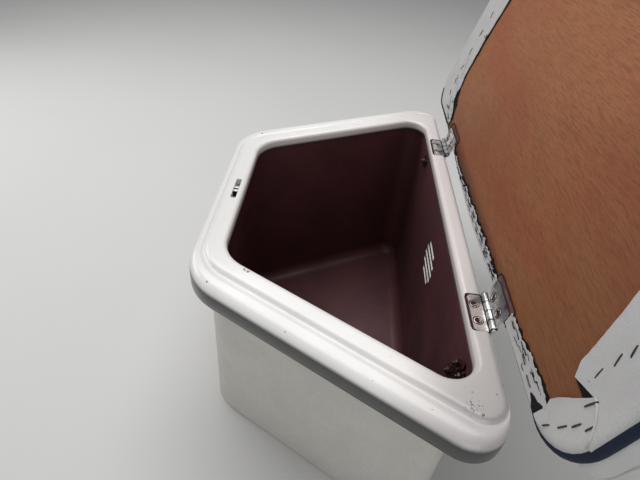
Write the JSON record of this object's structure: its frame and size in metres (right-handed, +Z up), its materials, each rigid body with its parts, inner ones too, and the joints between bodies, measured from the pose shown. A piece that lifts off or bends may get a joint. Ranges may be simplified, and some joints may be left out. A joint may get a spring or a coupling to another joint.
{
  "type": "boat bow locker with hinged padded lid",
  "caption": "Moulded bow locker of a rigid inflatable boat: a deep well with a raised tapered coaming, and a padded plywood lid that swings on butt hinges along its aft edge.",
  "frame": {"origin": "middle of the flat underside of the well, halfway along the coaming's length", "axes": "+X forward to the bow, +Y to port, +Z up"},
  "size_m": [0.4617, 0.698, 0.6274],
  "materials": {
    "gelcoat": "gloss",
    "well_paint": "satin",
    "white_plastic": "satin",
    "steel": "polished",
    "plywood": "varnished",
    "grey_vinyl": "matt grain",
    "navy_vinyl": "matt grain",
    "cushion": "matt grain"
  },
  "bodies": {
    "locker": {"coaming": "gelcoat", "well": "well_paint", "vent": "white_plastic", "latch_keeper": "white_plastic", "hinge_body_leaf_port": "steel", "hinge_pin_port": "steel", "hinge_body_leaf_starboard": "steel", "hinge_pin_starboard": "steel"},
    "lid": {"lid_board": "plywood", "lid_edge_band": "navy_vinyl", "lid_under_wrap": "grey_vinyl", "lid_hinge_edge_wrap": "grey_vinyl", "lid_cushion": "cushion", "lid_catch": "steel", "hinge_lid_leaf_port": "steel", "hinge_lid_leaf_starboard": "steel"}
  },
  "joints": [
    {"name": "lid_hinge", "type": "hinge", "parent": "locker", "child": "lid", "pos_m": [-0.1625, 0, 0.301], "axis": [0, 1, 0], "range_deg": [0, 105]}
  ]
}
